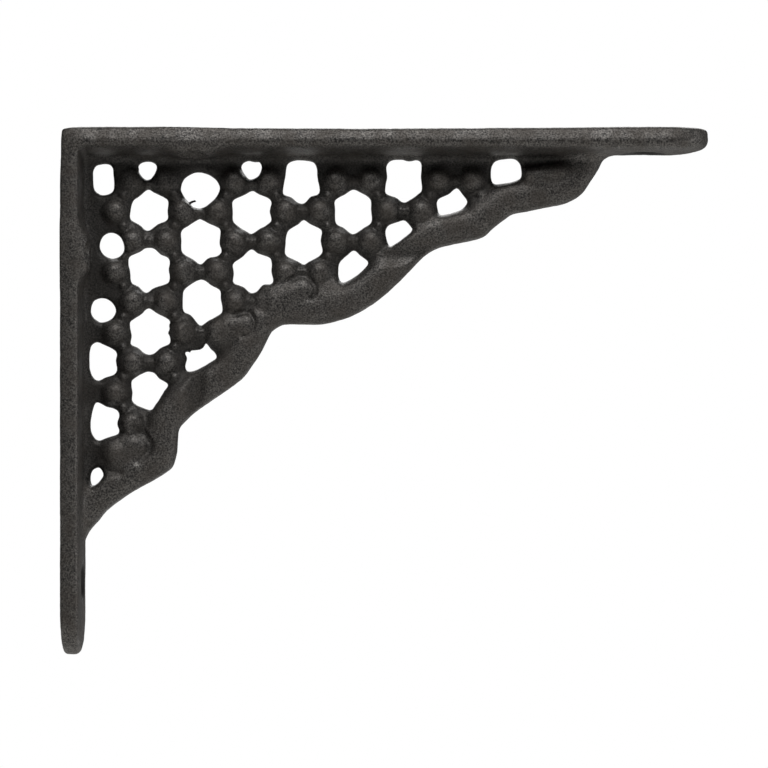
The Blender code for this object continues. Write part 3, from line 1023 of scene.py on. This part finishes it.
def baked(piece: bpy.types.Object) -> bpy.types.Object:
    """Applies a piece's modifiers to its mesh.

    Args:
        piece: The object with its modifiers.

    Returns:
        The same object, with a plain mesh.
    """
    made = bpy.data.meshes.new_from_object(piece.evaluated_get(bpy.context.evaluated_depsgraph_get()))
    old = piece.data
    piece.modifiers.clear()
    piece.data = made
    bpy.data.meshes.remove(old)
    made.name = piece.name
    made.shade_smooth()
    return piece


# Finishes


def linear(code: str) -> tuple[float, float, float, float]:
    """Turns an sRGB hex colour into linear light.

    Args:
        code: The colour, such as "#3c3a38".

    Returns:
        Red, green, blue and alpha.
    """
    parts = [int(code[i : i + 2], 16) / 255 for i in (1, 3, 5)]
    return (*[c / 12.92 if c <= 0.04045 else ((c + 0.055) / 1.055) ** 2.4 for c in parts], 1.0)


def add_node(
    tree: bpy.types.NodeTree, kind: str, settings: dict | None = None, links: dict | None = None
) -> bpy.types.Node:
    """Adds a node with its settings and its inputs.

    Args:
        tree: The node tree.
        kind: The node's type name.
        settings: Properties by name, and input values by number or name.
        links: Output sockets by the number or name of the input that they feed.

    Returns:
        The new node.
    """
    node = tree.nodes.new(kind)
    for name, value in (settings or {}).items():
        if isinstance(name, str) and hasattr(node, name):
            setattr(node, name, value)
        else:
            node.inputs[name].default_value = value
    for name, socket in (links or {}).items():
        tree.links.new(socket, node.inputs[name])
    return node


def remapped(tree: bpy.types.NodeTree, value: Socket, span: Span, onto: Span = (0.0, 1.0)) -> Socket:
    """Stretches a span of values onto another, and holds what lies outside at its ends.

    Args:
        tree: The node tree.
        value: The output that gives the values.
        span: The values that become the ends of the new span.
        onto: The new span.

    Returns:
        The output with the new values.
    """
    ends = {"From Min": span[0], "From Max": span[1], "To Min": onto[0], "To Max": onto[1]}
    return add_node(tree, "ShaderNodeMapRange", ends, {"Value": value}).outputs["Result"]


def worked_out(tree: bpy.types.NodeTree, operation: str, *values: Socket) -> Socket:
    """The output of a sum, such as a product or the larger of two values."""
    return add_node(tree, "ShaderNodeMath", {"operation": operation}, dict(enumerate(values))).outputs[0]


@dataclass(frozen=True)
class SandCastIron:
    """Grey iron poured in green sand and darkened: a warm black with the grain of the sand.

    The eye gets a fine, even sparkle from the grain, a little soft mottling where the finish is thicker,
    and a browner tone in patches that hands have rubbed. Painted shade makes it blacker deep in the
    web's recesses, and a painted shadow blackens the countersinks near the tips. Foundry sand is about
    0.2 mm across, finer than the render can show, so the grain is drawn at twice that. Each ball of
    painted shadow is given by its middle and its radius, in metres; the shadow is darkest inside it.
    """

    shadow_balls: tuple[tuple[Vector, float], ...]
    dark: str = "#232221"
    pale: str = "#5e5b58"
    # Colour of the painted shade deep in the web and of the painted shadow in the countersinks.
    deep: str = "#131211"
    warm: str = "#3c3732"
    metallic: float = 0.7
    roughness: Span = (0.42, 0.62)
    # Each noise has its patch size in millimetres, how many times finer noise is added, and how strong.
    grain: tuple[float, float, float] = (0.42, 1.0, 0.6)
    mottle: tuple[float, float, float] = (5.0, 3.0, 0.55)
    grain_depth_mm: float = 0.11
    # The values of a noise between which each effect grows from none to full.
    grain_span: Span = (0.34, 0.68)
    worn_span: Span = (0.42, 0.66)
    roughness_span: Span = (0.3, 0.7)
    worn_share: float = 0.5
    # Painted shade: it fades out with distance from the web's middle plane, and as the surface turns away.
    shade_span_mm: Span = (0.9, 4.0)
    recess_shade_share: float = 0.75
    sideways_span: Span = (0.2, 0.75)
    # Share of the ball's radius inside which the painted shadow is full.
    shadow_core: float = 0.95

    def painted_shade_mask(self, tree: bpy.types.NodeTree, place: Socket, normal: Socket) -> Socket:
        """How much painted shade falls: on the web's faces near its middle plane, and as painted shadow in
        the countersinks.

        Args:
            tree: The node tree.
            place: The output with the object's coordinates.
            normal: The output with the direction of its surface.

        Returns:
            The output with the share of painted shade, from 0 to 1.
        """
        across = add_node(tree, "ShaderNodeSeparateXYZ", {}, {"Vector": place}).outputs["Y"]
        turned = add_node(tree, "ShaderNodeSeparateXYZ", {}, {"Vector": normal}).outputs["Y"]
        span = (self.shade_span_mm[0] * MM, self.shade_span_mm[1] * MM)
        # Painted shade: darkest near the web's middle plane, on faces that look to the front or back.
        recess_shade = remapped(tree, worked_out(tree, "ABSOLUTE", across), span, (self.recess_shade_share, 0.0))
        facing = remapped(tree, worked_out(tree, "ABSOLUTE", turned), self.sideways_span)
        painted_shade = worked_out(tree, "MULTIPLY", recess_shade, facing)
        # Painted shadow in the countersinks near the tips, darkest in the middle of each ball.
        for middle, radius in self.shadow_balls:
            settings = {"operation": "DISTANCE", 1: middle}
            apart = add_node(tree, "ShaderNodeVectorMath", settings, {0: place}).outputs["Value"]
            countersink_shadow = remapped(tree, apart, (self.shadow_core * radius, radius), (1.0, 0.0))
            painted_shade = worked_out(tree, "MAXIMUM", painted_shade, countersink_shadow)
        return painted_shade

    def make(self) -> bpy.types.Material:
        """Makes the material.

        Returns:
            The material, which suits any mesh in the frame's place.
        """
        material = bpy.data.materials.new("sand_cast_iron")
        material.use_nodes = True
        tree = material.node_tree
        shader = tree.nodes["Principled BSDF"]
        shader.inputs["Metallic"].default_value = self.metallic
        around = add_node(tree, "ShaderNodeTexCoord").outputs
        noises = []
        for size_mm, detail, share in (self.grain, self.mottle):
            settings = {"Scale": 1 / (size_mm * MM), "Detail": detail, "Roughness": share}
            made = add_node(tree, "ShaderNodeTexNoise", settings, {"Vector": around["Object"]})
            noises.append(made.outputs["Fac"])
        grain, mottle = noises
        speckled = remapped(tree, grain, self.grain_span)
        worn = remapped(tree, mottle, self.worn_span, (0.0, self.worn_share))
        # Painted shade in the web's recesses and painted shadow in the countersinks.
        painted_shade = self.painted_shade_mask(tree, around["Object"], around["Normal"])
        settings = {"data_type": "RGBA", 6: linear(self.dark), 7: linear(self.pale)}
        colour = add_node(tree, "ShaderNodeMix", settings, {0: speckled}).outputs[2]
        # The rubbed patches turn browner, and the painted shade turns the recesses and countersinks blacker.
        for share, tone in ((worn, self.warm), (painted_shade, self.deep)):
            settings = {"data_type": "RGBA", 7: linear(tone)}
            colour = add_node(tree, "ShaderNodeMix", settings, {0: share, 6: colour}).outputs[2]
        rough = remapped(tree, mottle, self.roughness_span, self.roughness)
        settings = {"Strength": 1.0, "Distance": self.grain_depth_mm * MM}
        bump = add_node(tree, "ShaderNodeBump", settings, {"Height": grain})
        tree.links.new(colour, shader.inputs["Base Color"])
        tree.links.new(rough, shader.inputs["Roughness"])
        tree.links.new(bump.outputs["Normal"], shader.inputs["Normal"])
        return material


@dataclass(frozen=True)
class PaleFloor:
    """Matt white board under the part, with no gloss, so that it only lifts the shadows."""

    colour: str = "#f2f1ee"
    roughness: float = 0.9

    def make(self) -> bpy.types.Material:
        """Makes the material.

        Returns:
            The board's material.
        """
        material = bpy.data.materials.new("pale_floor")
        material.use_nodes = True
        shader = material.node_tree.nodes["Principled BSDF"]
        shader.inputs["Base Color"].default_value = linear(self.colour)
        shader.inputs["Roughness"].default_value = self.roughness
        return material


# The studio


@dataclass(frozen=True)
class SoftBox:
    """One soft light: where it stands, its width and height in metres, and its power in watts."""

    name: str
    place: tuple[float, float, float]
    size: tuple[float, float]
    watts: float


@dataclass(frozen=True)
class Studio:
    """White studio with a camera square to the web, at the photograph's distance and framing."""

    lens_mm: float = 153.5
    sensor_mm: float = 36.0
    camera_distance: float = 0.83
    camera_out: float = 0.08238
    camera_height: float = 0.0021
    ambient: float = 0.1
    floor_level: float = -0.14
    floor_near: float = -0.5
    floor_far: float = 0.34
    floor_half_width: float = 0.7
    lit_place: tuple[float, float, float] = (0.07, 0.0, 0.0)
    lights: tuple[SoftBox, ...] = (
        SoftBox("high", (0.15, -0.55, 0.8), (0.8, 0.3), 8.0),
        SoftBox("key", (0.15, -0.8, 0.58), (1.3, 0.35), 0.8),
        SoftBox("left", (-0.4, -0.5, 0.6), (0.35, 0.35), 0.7),
        SoftBox("right", (0.95, -0.15, 0.1), (0.4, 0.6), 2.3),
        SoftBox("back", (0.2, 0.8, 0.6), (0.6, 0.6), 6.5),
    )

    def camera(self) -> None:
        """Stands the camera at the photograph's viewpoint."""
        data = bpy.data.cameras.new("camera")
        data.lens = self.lens_mm
        data.sensor_width = self.sensor_mm
        data.clip_start = 0.01
        made = bpy.data.objects.new("camera", data)
        made.location = (self.camera_out, CAD_BOX[0].y - self.camera_distance, self.camera_height)
        made.rotation_euler = (math.pi / 2, 0.0, 0.0)
        bpy.context.scene.collection.objects.link(made)
        bpy.context.scene.camera = made

    def light(self, box: SoftBox) -> None:
        """Hangs one soft light.

        Args:
            box: The light's data.
        """
        data = bpy.data.lights.new(box.name, "AREA")
        data.shape = "RECTANGLE"
        data.size, data.size_y = box.size
        data.energy = box.watts
        made = bpy.data.objects.new(box.name, data)
        made.location = box.place
        towards = Vector(self.lit_place) - Vector(box.place)
        made.rotation_euler = towards.to_track_quat("-Z", "Y").to_euler()
        bpy.context.scene.collection.objects.link(made)

    def floor(self) -> None:
        """Lays the floor, which ends before it would rise into the camera's view."""
        depths = (self.floor_near, self.floor_near, self.floor_far, self.floor_far)
        corners = [
            (self.camera_out + side * self.floor_half_width, depth, self.floor_level)
            for side, depth in zip((-1, 1, 1, -1), depths)
        ]
        mesh = bpy.data.meshes.new("floor")
        mesh.from_pydata(corners, [], [(0, 1, 2, 3)])
        mesh.materials.append(PaleFloor().make())
        made = bpy.data.objects.new("floor", mesh)
        bpy.context.scene.collection.objects.link(made)

    def surround(self) -> None:
        """Makes the white surround, dimmer as a light than it looks."""
        world = bpy.data.worlds.new("studio")
        world.use_nodes = True
        tree = world.node_tree
        tree.nodes.clear()
        lit, seen = (
            add_node(tree, "ShaderNodeBackground", {"Color": WHITE, "Strength": strength})
            for strength in (self.ambient, 1.0)
        )
        path = add_node(tree, "ShaderNodeLightPath").outputs["Is Camera Ray"]
        either = add_node(
            tree, "ShaderNodeMixShader", {}, {0: path, 1: lit.outputs[0], 2: seen.outputs[0]}
        )
        add_node(tree, "ShaderNodeOutputWorld", {}, {"Surface": either.outputs["Shader"]})
        bpy.context.scene.world = world

    def build(self) -> None:
        """Sets up the camera, the lights, the floor and the surround."""
        self.camera()
        for box in self.lights:
            self.light(box)
        self.floor()
        self.surround()
        bpy.context.scene.view_settings.view_transform = "Standard"
        bpy.context.scene.view_settings.look = "None"


# How far in the two outer faces lie, by distance along the arm: the casting came out a little warped.
SHELF_HOLLOWS: Outline = (
    (0, 0.65), (5, 0.0), (25, 0.0), (35, 0.2), (45, 0.36), (57, 0.36), (74, 0.48), (92, 0.38),
    (112, 0.28), (127, 0.2), (137, 0.05), (147, 0.0), (158, 0.0), (163, 0.1), (166, 0.15),
)
WALL_HOLLOWS: Outline = (
    (0, 0.6), (4, 0.4), (6, 0.3), (11, 0.1), (16, 0.0), (123, 0.0), (128, 0.12), (132, 0.22), (135, 0.35),
)


def main() -> None:
    """Builds the casting to the part's sizes, and the studio, and logs the casting's triangle count."""
    logging.basicConfig(level=logging.INFO, format="%(name)s: %(message)s")
    Studio().build()
    low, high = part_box(NODE)
    size = (high - low) / MM
    casting = Casting(
        web=Web(),
        shelf_arm=Arm(
            Side.SHELF, size.x, size.y, edge=4.6, crown=6.6, tip_screw=149.1, pair_screw=33.9,
            hollows=SHELF_HOLLOWS, tip_head=5.9,
        ),
        wall_arm=Arm(
            Side.WALL, size.z, size.y, edge=4.6, crown=5.2, tip_screw=116.1, pair_screw=32.1,
            hollows=WALL_HOLLOWS, draft=1.1,
        ),
    )
    piece = casting.build()
    piece.data.materials.clear()
    # Balls of painted shadow in the countersinks near the tips.
    iron = SandCastIron(shadow_balls=(casting.shelf_arm.pool(), casting.wall_arm.pool()))
    piece.data.materials.append(iron.make())
    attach(piece, "root")
    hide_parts(NODE)
    log.info("%s: %d triangles", piece.name, sum(len(face.vertices) - 2 for face in piece.data.polygons))


if __name__ == "__main__":
    main()
